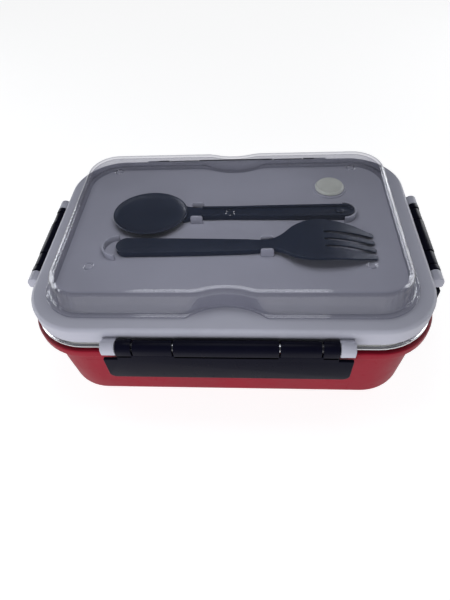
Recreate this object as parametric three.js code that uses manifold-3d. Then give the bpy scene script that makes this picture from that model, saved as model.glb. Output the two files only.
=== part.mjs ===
// Lunch box: a plastic tub with a drop-in steel tray, a sealed lid held by four snap latches,
// and a clear cover on the lid that keeps a spoon and a fork.
// Millimetres, +Z up. The origin is under the box's middle, on the surface it stands on.
// X runs along the box, -Y is the front.

import * as THREE from 'three';
import { mergeVertices } from 'three/addons/utils/BufferGeometryUtils.js';
import Module from 'manifold-3d';

const wasm = await Module();
wasm.setup();

// ---- driving dimensions -------------------------------------------------------------------

const RIM_Z = 77;                 // top face of the lid above the table
const GAP = 0.3;                  // clearance between parts that touch
const LID = { halfX: 118, halfY: 80.75, radius: 34.3 };        // lid outline, seen from above
const LID_SKIRT_Z = 65.5;         // lower edge of the lid's side wall
const LID_UNDERSIDE_Z = RIM_Z - 2.5;

const TUB_TOP_Z = 59.5;
const TUB_FLANGE_Z = 53.5;        // underside of the tub's flange, where the latches hook
const TUB_FLANGE_OUTSET = 2.2;    // beyond the lid's outline

const TRAY_RIM_Z = 62.4;          // top of the tray's flange
const TRAY_FLOOR_Z = 6;
const TRAY_DIVIDER_Z = 48;
const TRAY_SHEET = 0.7;
const TRAY_DRAFT = 2.2;           // how much a compartment narrows from its divider's top to its floor
const TRAY_FILLET = 6;            // round bottom edge, outside

const COVER = { halfX: 108, halfY: 72.4, radius: 25 };         // cover's lip, seen from above
const COVER_HEIGHT = 15;
const COVER_WALL = 1.8;
const COVER_DRAFT = 5;            // from the lip in to the top of the wall
const COVER_EDGE = 4;             // round top edge
const LIP_SCOOP = { depth: 8, radius: 36, blend: 1 };          // finger scoop in the lip
const WALL_SCOOP = { y: 64.2, radius: 37, blend: 23 };         // and in the upright wall above it

const LUG_WIDTH = 8;
const LUG_REACH = 8.8;            // out from the lid's side wall
const LUG_BOTTOM_Z = 65.2;
const LUG_TOP_Z = 71.2;           // where a lug meets the side wall
const HINGE_OUT = 4.9;            // hinge axis, out from the lid's side wall
const HINGE_Z = 69;
const KNUCKLE_RADIUS = 4;
const PIN_RADIUS = 2.6;
const LATCH_FACE = 8.9;           // outer face of a closed latch, out from the lid's side wall
const LATCH_PLATE = 2;
const LATCH_BOTTOM_Z = 43.2;
const LATCH_END_GAP = 0.4;        // between a latch's barrel and its lugs
const BARREL_SLITS = [-0.845, -0.475, 0.475, 0.845];          // shares of the lugs' inner distance
const BARREL_SLIT = 0.8;
const LATCH_EAR_DROP = 3.2;       // from a lug down to the plate below it

const PLUG = { x: 67, y: 42.6, radius: 9.95, bossRadius: 11.4, stemRadius: 5.7 };

const FORK = { y: -17.6, left: -72, neck: 26, tip: 89 };
const SPOON = { y: 14.6, right: 80, neck: -23, bowlX: -54.3, bowlY: 12.6 };

// the four sides: where a latch's local frame stands, and the inner face of its lugs
const SIDES = [
  { name: 'front', x: 0, y: -LID.halfY, turn: 0, lugInner: 61.2 },
  { name: 'back', x: 0, y: LID.halfY, turn: Math.PI, lugInner: 61.2 },
  { name: 'left', x: -LID.halfX, y: 0, turn: -Math.PI / 2, lugInner: 31 },
  { name: 'right', x: LID.halfX, y: 0, turn: Math.PI / 2, lugInner: 31 },
];

// ---- materials ----------------------------------------------------------------------------

const plastic = (color, roughness) => new THREE.MeshStandardMaterial({ color, roughness, metalness: 0 });
const redPlastic = plastic(0x9c2b3d, 0.4);
const greyPlastic = plastic(0xa9a9b4, 0.42);
const blackPlastic = plastic(0x14141b, 0.3);
const cutleryPlastic = plastic(0x262b36, 0.35);
const silicone = plastic(0xaeb0a8, 0.6);
const steel = new THREE.MeshStandardMaterial({ color: 0xc9ccd0, roughness: 0.25, metalness: 1 });
const clearPlastic = new THREE.MeshStandardMaterial({
  color: 0xdde3ea, roughness: 0.08, metalness: 0, transparent: true, opacity: 0.3,
});

// ---- outlines -----------------------------------------------------------------------------

function roundedRectangle({ halfX, halfY, radius }) {
  const shape = new THREE.Shape();
  const cx = halfX - radius;
  const cy = halfY - radius;
  [[cx, cy], [-cx, cy], [-cx, -cy], [cx, -cy]].forEach(([x, y], corner) => {
    shape.absarc(x, y, radius, corner * Math.PI / 2, (corner + 1) * Math.PI / 2);
  });
  return shape;
}

function grow({ halfX, halfY, radius }, outset) {
  return { halfX: halfX + outset, halfY: halfY + outset, radius: radius + outset };
}

// the cover's outline moved inwards, with a finger scoop in each long edge: radius is the
// scoop's own, and blend the round corner where it meets the straight edge
function coverOutline(inset, { depth, radius, blend }) {
  const cx = COVER.halfX - COVER.radius;
  const cy = COVER.halfY - COVER.radius;
  const corner = COVER.radius - inset;
  const edgeY = COVER.halfY - inset;
  const reach = radius + blend;
  const scoopY = edgeY - depth + radius;
  const blendY = edgeY - blend;
  const blendX = Math.sqrt(reach ** 2 - (scoopY - blendY) ** 2);
  const lean = Math.atan2(scoopY - blendY, blendX);
  const right = Math.PI / 2;

  const shape = new THREE.Shape();
  for (const side of [0, Math.PI]) {
    const flip = side === 0 ? 1 : -1;
    shape.absarc(flip * cx, flip * cy, corner, side, side + right);
    shape.absarc(flip * blendX, flip * blendY, blend, side + right, side + Math.PI - lean);
    shape.absarc(0, flip * scoopY, radius, side - lean, side - Math.PI + lean, true);
    shape.absarc(-flip * blendX, flip * blendY, blend, side + lean, side + right);
    shape.absarc(-flip * cx, flip * cy, corner, side + right, side + Math.PI);
  }
  return shape;
}

// the scoop of the wall at one inset; behind is how far in from the wall's outside it lies
function wallScoop(inset, behind) {
  return {
    depth: COVER.halfY - inset - WALL_SCOOP.y + behind,
    radius: WALL_SCOOP.radius + behind,
    blend: WALL_SCOOP.blend - behind,
  };
}

// ---- solids -------------------------------------------------------------------------------

// a shape's outline at one height, without the doubled points where its arcs meet
function ring(shape, z, divisions = 4) {
  const points = shape.getPoints(divisions);
  const distinct = points.filter((point, i) => point.distanceTo(points.at(i - 1)) > 1e-6);
  return distinct.map((point) => new THREE.Vector3(point.x, point.y, z));
}

// skins over a stack of rings with the same number of points; a closed stack is a hoop,
// an open one gets a flat cap at each end
function loft(rings, closed = false) {
  const count = rings[0].length;
  const positions = rings.flat().flatMap((point) => [point.x, point.y, point.z]);
  const index = [];
  const bands = closed ? rings.length : rings.length - 1;
  for (let band = 0; band < bands; band += 1) {
    const low = band * count;
    const high = ((band + 1) % rings.length) * count;
    for (let i = 0; i < count; i += 1) {
      const next = (i + 1) % count;
      index.push(low + i, low + next, high + next, low + i, high + next, high + i);
    }
  }
  if (!closed) {
    const last = (rings.length - 1) * count;
    for (const [a, b, c] of THREE.ShapeUtils.triangulateShape(rings[0], [])) {
      index.push(c, b, a);
    }
    for (const [a, b, c] of THREE.ShapeUtils.triangulateShape(rings.at(-1), [])) {
      index.push(last + a, last + b, last + c);
    }
  }
  const geometry = new THREE.BufferGeometry();
  geometry.setAttribute('position', new THREE.Float32BufferAttribute(positions, 3));
  geometry.setIndex(signedVolume(positions, index) < 0 ? index.reverse() : index);
  return geometry;
}

function signedVolume(positions, index) {
  const corner = (i) => new THREE.Vector3().fromArray(positions, 3 * index[i]);
  let volume = 0;
  for (let i = 0; i < index.length; i += 3) {
    volume += corner(i).dot(corner(i + 1).cross(corner(i + 2))) / 6;
  }
  return volume;
}

// a profile of [outset, z] points swept around a rounded rectangle
function sweep(outline, profile, closed = false, divisions = 4) {
  return solid(loft(profile.map(([outset, z]) => (
    ring(roundedRectangle(grow(outline, outset)), z, divisions)
  )), closed));
}

function arc(cx, cy, radius, from, to, steps) {
  return Array.from({ length: steps + 1 }, (_, i) => {
    const angle = THREE.MathUtils.degToRad(from + (to - from) * i / steps);
    return [cx + radius * Math.cos(angle), cy + radius * Math.sin(angle)];
  });
}

function solid(geometry) {
  const bare = geometry.clone();
  bare.deleteAttribute('normal');
  bare.deleteAttribute('uv');
  const merged = mergeVertices(bare);
  return new wasm.Manifold(new wasm.Mesh({
    numProp: 3,
    vertProperties: Float32Array.from(merged.attributes.position.array),
    triVerts: Uint32Array.from(merged.index.array),
  }));
}

function polygon(points) {
  return new THREE.Shape(points.map(([x, y]) => new THREE.Vector2(x, y)));
}

// upright prism over a shape in XY
function upright(shape, from, to, curveSegments = 8) {
  const geometry = new THREE.ExtrudeGeometry(shape, { depth: to - from, bevelEnabled: false, curveSegments });
  return solid(geometry.translate(0, 0, from));
}

// prism along X over a shape drawn in YZ
function alongX(shape, from, to, curveSegments = 8) {
  const geometry = new THREE.ExtrudeGeometry(shape, { depth: to - from, bevelEnabled: false, curveSegments });
  const cycle = new THREE.Matrix4().makeBasis(
    new THREE.Vector3(0, 1, 0), new THREE.Vector3(0, 0, 1), new THREE.Vector3(1, 0, 0),
  );
  return solid(geometry.applyMatrix4(cycle).translate(from, 0, 0));
}

// prism along -Y over a shape drawn in XZ, from one Y down to another
function alongY(shape, from, to, curveSegments = 8) {
  const geometry = new THREE.ExtrudeGeometry(shape, { depth: to - from, bevelEnabled: false, curveSegments });
  return solid(geometry.rotateX(Math.PI / 2).translate(0, to, 0));
}

function cylinderX(radius, from, to, y, z, segments = 16) {
  const geometry = new THREE.CylinderGeometry(radius, radius, to - from, segments);
  return solid(geometry.rotateZ(Math.PI / 2).translate((from + to) / 2, y, z));
}

function cylinderZ(radius, from, to, x, y, segments = 32) {
  const geometry = new THREE.CylinderGeometry(radius, radius, to - from, segments);
  return solid(geometry.rotateX(Math.PI / 2).translate(x, y, (from + to) / 2));
}

function box(xFrom, xTo, yFrom, yTo, zFrom, zTo) {
  const geometry = new THREE.BoxGeometry(xTo - xFrom, yTo - yFrom, zTo - zFrom);
  return solid(geometry.translate((xFrom + xTo) / 2, (yFrom + yTo) / 2, (zFrom + zTo) / 2));
}

const join = (first, ...rest) => rest.reduce((whole, piece) => whole.add(piece), first);
const cut = (first, ...rest) => rest.reduce((whole, piece) => whole.subtract(piece), first);

const lunchBox = new THREE.Group();

function addPart(name, body, material, parent = lunchBox) {
  const { vertProperties, triVerts } = body.getMesh();
  const geometry = new THREE.BufferGeometry();
  geometry.setAttribute('position', new THREE.Float32BufferAttribute(vertProperties, 3));
  geometry.setIndex(new THREE.Uint32BufferAttribute(triVerts, 1));
  geometry.computeVertexNormals();
  const mesh = new THREE.Mesh(geometry, material);
  mesh.name = name;
  parent.add(mesh);
}

// ---- tub and tray -------------------------------------------------------------------------

// drafted wall, round bottom edge and a solid flange at the lip
function outerTub() {
  const wall = 2.2;
  const foot = 8;
  const footOutset = -4.9;
  const wallOutset = -2.9;
  const outside = [
    ...arc(footOutset - foot, foot, foot, -90, 0, 4),
    [wallOutset, TUB_FLANGE_Z - 3], [-2.2, TUB_FLANGE_Z - 0.9], [-0.6, TUB_FLANGE_Z],
    [TUB_FLANGE_OUTSET - 0.4, TUB_FLANGE_Z], [TUB_FLANGE_OUTSET, TUB_FLANGE_Z + 0.5],
    [TUB_FLANGE_OUTSET, TUB_TOP_Z - 0.8], [TUB_FLANGE_OUTSET - 0.8, TUB_TOP_Z],
  ];
  const inside = [
    [wallOutset - wall, TUB_TOP_Z],
    ...arc(footOutset - foot, foot, foot - wall, 0, -90, 4),
  ];
  return sweep(LID, [...outside, ...inside]);
}

// outline of one compartment; radii run anticlockwise from its right back corner
function pocketOutline({ x, y, radii }, outset) {
  const shape = new THREE.Shape();
  const corners = [[x[1], y[1], -1, -1], [x[0], y[1], 1, -1], [x[0], y[0], 1, 1], [x[1], y[0], -1, 1]];
  corners.forEach(([cornerX, cornerY, towardsX, towardsY], i) => {
    const radius = radii[i];
    const centre = [cornerX + towardsX * radius, cornerY + towardsY * radius];
    shape.absarc(...centre, radius + outset, i * Math.PI / 2, (i + 1) * Math.PI / 2);
  });
  return shape;
}

// space of one compartment, drafted and with a round bottom edge
function pocket(plan) {
  const fillet = TRAY_FILLET - TRAY_SHEET;
  const profile = [
    ...arc(-TRAY_DRAFT - fillet, TRAY_FLOOR_Z + fillet, fillet, -90, 0, 3),
    [0, TRAY_DIVIDER_Z], [0, TRAY_DIVIDER_Z + 2],
  ];
  return solid(loft(profile.map(([outset, z]) => ring(pocketOutline(plan, outset), z))));
}

// hollow underside of a pressed divider, a tapered channel along X
function dividerHollow(length) {
  const foot = 4.6;
  const crest = 1.1;
  const section = polygon([
    [-foot, 0], [foot, 0],
    [crest, TRAY_DIVIDER_Z - TRAY_SHEET], [-crest, TRAY_DIVIDER_Z - TRAY_SHEET],
  ]);
  return alongX(section, -length / 2, length / 2);
}

// pressed steel tray with three compartments, hanging on the tub by its rolled rim
function innerTray() {
  const bead = 1.3;
  const wallTop = -9;
  const filletZ = TRAY_FLOOR_Z - TRAY_SHEET + TRAY_FILLET;
  const outside = [
    ...arc(wallTop - TRAY_DRAFT - TRAY_FILLET, filletZ, TRAY_FILLET, -90, 0, 3),
    [wallTop, TRAY_DIVIDER_Z], [-8.1, TRAY_RIM_Z - 3],
    [-7.2, TRAY_RIM_Z - TRAY_SHEET], [-3.4, TRAY_RIM_Z - TRAY_SHEET],
    ...arc(-1, TRAY_RIM_Z - bead, bead, 200, 450, 7),
  ];
  const inside = [
    [-7.2, TRAY_RIM_Z], [-9, TRAY_RIM_Z - 2.6], [wallTop - TRAY_SHEET, TRAY_DIVIDER_Z + 0.5],
  ];
  const shell = sweep(LID, [...outside, ...inside]);
  const west = -LID.halfX - wallTop + TRAY_SHEET;
  const south = -LID.halfY - wallTop + TRAY_SHEET;
  const split = 22;
  const half = 2.6;
  const hollowInset = 12;
  const inner = 16;
  const outer = LID.radius + wallTop - TRAY_SHEET;
  const pockets = [
    pocket({ x: [west, split - half], y: [south, -south], radii: [inner, outer, outer, inner] }),
    pocket({ x: [split + half, -west], y: [half, -south], radii: [outer, inner, inner, inner] }),
    pocket({ x: [split + half, -west], y: [south, -half], radii: [inner, inner, inner, outer] }),
  ];
  const across = dividerHollow(-2 * (south + hollowInset)).rotate([0, 0, 90]);
  const along = dividerHollow(-west - split - 2 * hollowInset);
  const hollows = [across.translate([split, 0, 0]), along.translate([(split - west) / 2, 0, 0])];
  return cut(shell, ...pockets, ...hollows);
}

// ---- lid ----------------------------------------------------------------------------------

// flat top, round edge, skirt, and three ribs below that hold the gasket
function lidShell() {
  const edge = 2.5;
  const profile = [
    [-32, RIM_Z],
    ...arc(-edge, RIM_Z - edge, edge, 90, 0, 4),
    [0, LID_SKIRT_Z + 0.5], [-0.5, LID_SKIRT_Z], [-2, LID_SKIRT_Z],
    [-2.3, LID_UNDERSIDE_Z], [-4.6, LID_UNDERSIDE_Z],
    [-4.7, 68.4], [-6, 68.4],
    [-6.1, LID_UNDERSIDE_Z], [-8.4, LID_UNDERSIDE_Z],
    [-8.6, 64.2], [-10.2, 64.2],
    [-10.5, LID_UNDERSIDE_Z], [-32, LID_UNDERSIDE_Z],
  ];
  return sweep(LID, profile);
}

// half-round wall around the free end of a piece of cutlery, open towards its handle
function fingerWall(x, y, outer, inner, facing) {
  const shape = new THREE.Shape();
  const half = Math.PI / 2;
  shape.absarc(x, y, outer, facing - half, facing + half);
  shape.absarc(x, y, inner, facing + half, facing - half, true);
  return upright(shape, RIM_Z - 0.5, RIM_Z + 4.5, 12);
}

// pair of prongs that grip the cutlery at its neck
function neckClip(x, y, halfGap) {
  const prong = 1.4;
  const width = 8;
  const top = RIM_Z + 6;
  return join(
    box(x - width / 2, x + width / 2, y - halfGap - prong, y - halfGap, RIM_Z - 0.5, top),
    box(x - width / 2, x + width / 2, y + halfGap, y + halfGap + prong, RIM_Z - 0.5, top),
  );
}

// hinge lug hanging from the lid's side wall, in a side's own frame (outwards is -Y)
function lug(from, to) {
  const section = polygon([
    [1.5, LID_SKIRT_Z + 0.8], [1.5, LUG_TOP_Z], [-1, LUG_TOP_Z],
    ...arc(-HINGE_OUT, HINGE_Z, LUG_REACH - HINGE_OUT, 65, 180, 6),
    [-LUG_REACH, LUG_BOTTOM_Z + 1.4], [-LUG_REACH + 1.2, LUG_BOTTOM_Z],
    [-0.8, LUG_BOTTOM_Z], [-0.8, LID_SKIRT_Z + 0.8],
  ]);
  return alongX(section, from, to);
}

function onSide(body, side) {
  return body.rotate([0, 0, THREE.MathUtils.radToDeg(side.turn)]).translate([side.x, side.y, 0]);
}

function lid() {
  const features = [
    fingerWall(-71.5, FORK.y + 0.3, 9.6, 8.2, Math.PI),
    fingerWall(73, SPOON.y, 8.6, 7.2, 0),
    neckClip(23, FORK.y, 5.2),
    neckClip(SPOON.neck, SPOON.y, 6.6),
    cylinderZ(PLUG.bossRadius, RIM_Z - 0.5, RIM_Z + 0.8, PLUG.x, PLUG.y, 36),
  ];
  const lugs = [];
  const sockets = [];
  const cap = 1;
  for (const side of SIDES) {
    const outer = side.lugInner + LUG_WIDTH;
    const bore = (from, to) => cylinderX(PIN_RADIUS + GAP, from, to, -HINGE_OUT, HINGE_Z);
    lugs.push(onSide(lug(side.lugInner, outer), side), onSide(lug(-outer, -side.lugInner), side));
    sockets.push(onSide(bore(side.lugInner - 1, outer - cap), side));
    sockets.push(onSide(bore(cap - outer, 1 - side.lugInner), side));
  }
  const ventHole = cylinderZ(PLUG.stemRadius + GAP, LID_UNDERSIDE_Z - 1, RIM_Z + 2, PLUG.x, PLUG.y, 24);
  return cut(join(lidShell(), ...features, ...lugs), ventHole, ...sockets);
}

function lidGasket() {
  const profile = [
    [-2.8, 63], [-2.7, 66.5], [-3.4, 68], [-7.4, 68], [-8.1, 66.5], [-7.9, 63],
    [-6.6, 62.8], [-5.4, 64.6], [-4.2, 62.8],
  ];
  return sweep(LID, profile, true);
}

// mushroom plug: a disc on the boss and a stem through the lid
function ventPlug() {
  const seat = RIM_Z + 0.8 + GAP;
  const { radius, stemRadius } = PLUG;
  const profile = [
    [0, LID_UNDERSIDE_Z - 2], [stemRadius - 1, LID_UNDERSIDE_Z - 2], [stemRadius, LID_UNDERSIDE_Z - 1],
    [stemRadius, seat], [radius, seat], [radius, seat + 1.3], [radius - 0.5, seat + 1.8], [0, seat + 1.8],
  ];
  const turned = new THREE.LatheGeometry(profile.map(([r, z]) => new THREE.Vector2(r, z)), 36);
  return solid(turned.rotateX(Math.PI / 2)).translate([PLUG.x, PLUG.y, 0]);
}

// ---- clear cover --------------------------------------------------------------------------

// lip, drafted wall and round top edge, hollow below
function clearCover() {
  const base = RIM_Z + GAP;
  const top = RIM_Z + COVER_HEIGHT;
  const centre = [-COVER_DRAFT - COVER_EDGE, top - COVER_EDGE];
  const lipRing = ([outset, z]) => ring(coverOutline(-outset, LIP_SCOOP), z);
  const wallRing = (wall) => ([outset, z]) => {
    const behind = Math.max(wall, -outset - COVER_DRAFT);
    return ring(coverOutline(-outset, wallScoop(-outset, behind)), z);
  };
  const outside = [
    ...[[0, base], [0, base + 1], [-0.3, base + 1.3]].map(lipRing),
    ...[[-2.6, base + 1.3], ...arc(...centre, COVER_EDGE, 0, 90, 4)].map(wallRing(0)),
  ];
  const inside = [
    [-2.6 - COVER_WALL, base - 1], ...arc(...centre, COVER_EDGE - COVER_WALL, 0, 90, 3),
  ].map(wallRing(COVER_WALL));
  return cut(solid(loft(outside)), solid(loft(inside)));
}

// ---- cutlery ------------------------------------------------------------------------------

// half outline of the fork as [x, half width]; mirrored about its axis
function forkOutline() {
  const headSide = new THREE.SplineCurve([
    new THREE.Vector2(FORK.neck, 4), new THREE.Vector2(32, 7.2), new THREE.Vector2(39, 13.2),
    new THREE.Vector2(47, 16.6), new THREE.Vector2(59, 17.2), new THREE.Vector2(75, 14.6),
    new THREE.Vector2(FORK.tip - 1, 11),
  ]).getPoints(14);
  const handleEnd = arc(FORK.left + 6.8, 0, 6.8, 180, 100, 5);
  const half = [
    ...handleEnd, [-30, 6.2], [10, 5], [20, 4],
    ...headSide.map((point) => [point.x, point.y]), [FORK.tip, 10.4],
  ];
  const mirrored = half.slice(1).reverse().map(([x, y]) => [x, -y]);
  return polygon([...half, ...mirrored]);
}

// side view of the fork as [x, height above the lid]: a flat handle and an arched head
function forkSideProfile() {
  const top = [
    [FORK.left - 1, 4.2], [20, 4.2], [30, 5.8], [40, 8], [50, 9.2], [60, 9], [70, 7.4],
    [80, 4.6], [FORK.tip + 1, 1.5],
  ];
  const under = [
    [FORK.tip + 1, -1], [86, 0.4], [80, 2.4], [70, 5.2], [60, 6.8], [50, 7], [40, 5.6],
    [30, 2.8], [22, GAP], [FORK.left - 1, GAP],
  ];
  return polygon([...top, ...under].map(([x, z]) => [x, z + RIM_Z]));
}

function fork() {
  const plate = upright(forkOutline(), RIM_Z, RIM_Z + 12).intersect(alongY(forkSideProfile(), -25, 25));
  const slot = (offset) => {
    const drift = offset * 0.02;
    return upright(polygon([
      [57, offset - 0.3], [60, offset - 0.8], [FORK.tip + 2, offset - 1.3 - drift],
      [FORK.tip + 2, offset + 1.3 - drift], [60, offset + 0.8], [57, offset + 0.3],
    ]), RIM_Z - 1, RIM_Z + 12);
  };
  const recess = box(-55, 6, -1.8, 1.8, RIM_Z + 3.4, RIM_Z + 6);
  return cut(plate, slot(-6.2), slot(0), slot(6.2), recess).translate([0, FORK.y, 0]);
}

function spoonHandle() {
  const half = [
    ...arc(SPOON.right - 6, 0, 6, 0, 80, 4),
    [30, 5.4], [0, 4.8], [SPOON.neck, 5], [-33, 7],
  ];
  const mirrored = half.slice(1).reverse().map(([x, y]) => [x, -y]);
  const bar = upright(polygon([...half, ...mirrored]), RIM_Z + GAP, RIM_Z + 4.6);
  const channel = box(-8, 62, -2.6, 2.6, RIM_Z + 3.2, RIM_Z + 6);
  return cut(bar, channel);
}

// shallow oval bowl with its rim up
function spoonBowl(halfLength, halfWidth, depth, rimZ) {
  const section = [[0, -1], ...arc(0, 0, 1, -75, 0, 5), [0, 0]];
  const profile = section.map(([r, z]) => new THREE.Vector2(r * halfWidth, z * depth));
  const turned = new THREE.LatheGeometry(profile, 36).rotateX(Math.PI / 2);
  return solid(turned.scale(halfLength / halfWidth, 1, 1)).translate([0, 0, rimZ]);
}

function spoon() {
  const rimZ = RIM_Z + 5.6;
  const outer = spoonBowl(24.8, 21, 5.2, rimZ);
  const inner = spoonBowl(23.4, 19.6, 4, rimZ + 0.1);
  const bowlAt = [SPOON.bowlX, SPOON.bowlY - SPOON.y, 0];
  const whole = join(spoonHandle(), outer.translate(bowlAt));
  return cut(whole, inner.translate(bowlAt)).translate([0, SPOON.y, 0]);
}

// ---- latches ------------------------------------------------------------------------------

// face of the latch as drawn on the side: a plate with ears that reach below the lugs
function latchFace(lugInner) {
  const top = HINGE_Z - PIN_RADIUS - 0.4;
  const end = lugInner - LATCH_END_GAP;
  const earTop = LUG_BOTTOM_Z - LATCH_EAR_DROP;
  const earOut = lugInner + LUG_WIDTH;
  const round = 4;
  const half = [
    [end, top], [end, earTop], [earOut, earTop],
    ...arc(earOut - round, LATCH_BOTTOM_Z + round, round, 0, -90, 4),
  ];
  const mirrored = [...half].reverse().map(([x, z]) => [-x, z]);
  return polygon([...half, ...mirrored]);
}

// plate, slit barrel and the rib that hooks under the tub's flange
function latch(lugInner) {
  const end = lugInner - LATCH_END_GAP;
  const plate = alongY(latchFace(lugInner), -LATCH_FACE, -LATCH_FACE + LATCH_PLATE);
  const barrel = cylinderX(KNUCKLE_RADIUS, -end, end, -HINGE_OUT, HINGE_Z, 20);
  const neck = box(-end, end, -LATCH_FACE, -HINGE_OUT - 0.4, HINGE_Z - 5, HINGE_Z);
  const catchTip = -TUB_FLANGE_OUTSET - GAP;
  const catchRib = alongX(polygon([
    [-LATCH_FACE + 1, TUB_FLANGE_Z + 0.2], [catchTip, TUB_FLANGE_Z - 0.8],
    [catchTip, TUB_FLANGE_Z - 2.2], [-LATCH_FACE + 1, TUB_FLANGE_Z - 3.2],
  ]), -end + 8, end - 8);
  const bore = cylinderX(PIN_RADIUS + GAP, -end - 1, end + 1, -HINGE_OUT, HINGE_Z);
  const slitFloor = HINGE_Z - PIN_RADIUS - 0.4;
  const slits = BARREL_SLITS.map((share) => {
    const x = share * lugInner;
    return box(x - BARREL_SLIT / 2, x + BARREL_SLIT / 2, -LATCH_FACE - 1, 0, slitFloor, HINGE_Z + 5);
  });
  return cut(join(plate, barrel, neck, catchRib), bore, ...slits);
}

function latchPin(lugInner) {
  const end = lugInner + LUG_WIDTH - 1 - GAP;
  return cylinderX(PIN_RADIUS, -end, end, -HINGE_OUT, HINGE_Z);
}

// ---- assembly -----------------------------------------------------------------------------

addPart('outer_tub', outerTub(), redPlastic);
addPart('inner_tray', innerTray(), steel);
addPart('lid', lid(), greyPlastic);
addPart('lid_gasket', lidGasket(), silicone);
addPart('vent_plug', ventPlug(), silicone);
addPart('clear_cover', clearCover(), clearPlastic);
addPart('fork', fork(), cutleryPlastic);
addPart('spoon', spoon(), cutleryPlastic);

for (const side of SIDES) {
  const place = new THREE.Group();
  place.position.set(side.x, side.y, 0);
  place.rotation.z = side.turn;
  lunchBox.add(place);
  addPart(`latch_${side.name}`, latch(side.lugInner), blackPlastic, place);
  addPart(`latch_pin_${side.name}`, latchPin(side.lugInner), steel, place);
}

export default lunchBox;
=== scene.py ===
"""Lunch box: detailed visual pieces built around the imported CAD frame.

Lengths of shapes are in millimetres in the CAD frame (+Z up, -Y front) and are scaled to metres
when a mesh is made. Lamps and the patterns of materials are in metres. Every piece stands for
one CAD node and keeps its size and place.
"""
import math
import bmesh
import bpy
from mathutils import Matrix, Vector
from mathutils.geometry import tessellate_polygon


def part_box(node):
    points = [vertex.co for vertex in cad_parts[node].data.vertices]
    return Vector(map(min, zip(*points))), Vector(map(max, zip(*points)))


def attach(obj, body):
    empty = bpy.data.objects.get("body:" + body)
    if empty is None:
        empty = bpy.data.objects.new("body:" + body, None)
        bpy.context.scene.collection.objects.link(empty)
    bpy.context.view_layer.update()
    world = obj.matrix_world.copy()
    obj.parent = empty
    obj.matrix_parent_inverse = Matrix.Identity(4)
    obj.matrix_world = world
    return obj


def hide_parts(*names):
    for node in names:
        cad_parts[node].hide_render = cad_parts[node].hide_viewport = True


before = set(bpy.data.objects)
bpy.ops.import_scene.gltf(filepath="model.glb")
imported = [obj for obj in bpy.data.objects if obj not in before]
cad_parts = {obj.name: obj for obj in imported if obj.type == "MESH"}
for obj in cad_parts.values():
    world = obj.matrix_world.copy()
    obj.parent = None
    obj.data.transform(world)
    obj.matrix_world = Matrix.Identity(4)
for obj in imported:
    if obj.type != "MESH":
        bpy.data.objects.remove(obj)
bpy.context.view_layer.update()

MM = 0.001


# ---- sizes taken from the frame ------------------------------------------------------------


def node_box(name):
    """Lowest and highest corner of a CAD node, in millimetres."""
    low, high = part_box(name)
    return low / MM, high / MM


TUB_HIGH = node_box("outer_tub")[1]
TRAY_HIGH = node_box("inner_tray")[1]
GASKET_LOW, GASKET_HIGH = node_box("lid_gasket")
COVER_LOW, COVER_HIGH = node_box("clear_cover")
PLUG_LOW, PLUG_HIGH = node_box("vent_plug")
FORK_LOW, FORK_HIGH = node_box("fork")
SPOON_LOW, SPOON_HIGH = node_box("spoon")

GAP = 0.3                # clearance between parts that lie on each other
FLANGE_OUTSET = 2.2      # how far the tub's flange stands out past the lid
LID_HALF = (TUB_HIGH.x - FLANGE_OUTSET, TUB_HIGH.y - FLANGE_OUTSET)
LID_RADIUS = 34.3
LID_CORNER = (LID_HALF[0] - LID_RADIUS, LID_HALF[1] - LID_RADIUS)
RIM_Z = COVER_LOW.z - GAP    # the lid's upper face
ROOT_Z = RIM_Z - 0.2         # where details on that face start, just inside it
TUB_TOP = TUB_HIGH.z
COVER_HALF = (COVER_HIGH.x, COVER_HIGH.y)
COVER_RADIUS = 25
PLUG_X = (PLUG_LOW.x + PLUG_HIGH.x) / 2
PLUG_Y = (PLUG_LOW.y + PLUG_HIGH.y) / 2
VENT_HOLE = 6.0
LATCH_LOW, LATCH_HIGH = node_box("latch_front")
PIN_LOW, PIN_HIGH = node_box("latch_pin_front")
HINGE_Z = (PIN_LOW.z + PIN_HIGH.z) / 2
HINGE_OUT = -(PIN_LOW.y + PIN_HIGH.y) / 2 - LID_HALF[1]
PIN_RADIUS = (PIN_HIGH.z - PIN_LOW.z) / 2
SPOON_Y = 14.6           # axis of the spoon's handle


# ---- outlines ------------------------------------------------------------------------------


def arc(cx, cy, radius, start, end, steps):
    """Points on an arc, angles in degrees."""
    points = []
    for i in range(steps + 1):
        angle = math.radians(start + (end - start) * i / steps)
        points.append((cx + radius * math.cos(angle), cy + radius * math.sin(angle)))
    return points


def clean(points):
    """The points without doubled neighbours."""
    kept = []
    for point in points:
        if not kept or math.dist(point, kept[-1]) > 1e-4:
            kept.append(point)
    if math.dist(kept[0], kept[-1]) <= 1e-4:
        kept.pop()
    return kept


def lid_outline(outset):
    """The lid's outline grown by outset, anticlockwise from its right back corner."""
    cx, cy = LID_CORNER
    points = []
    for i, (x, y) in enumerate([(cx, cy), (-cx, cy), (-cx, -cy), (cx, -cy)]):
        points += arc(x, y, LID_RADIUS + outset, 90 * i, 90 * i + 90, 14)
    return points


# Inset of the cover's wall at its top edge, and that edge's radius; then the wall's scoop.
COVER_DRAFT, COVER_EDGE = 5, 4
WALL_SCOOP_Y, WALL_SCOOP_RADIUS, WALL_SCOOP_BLEND = 64.2, 37, 23


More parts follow.
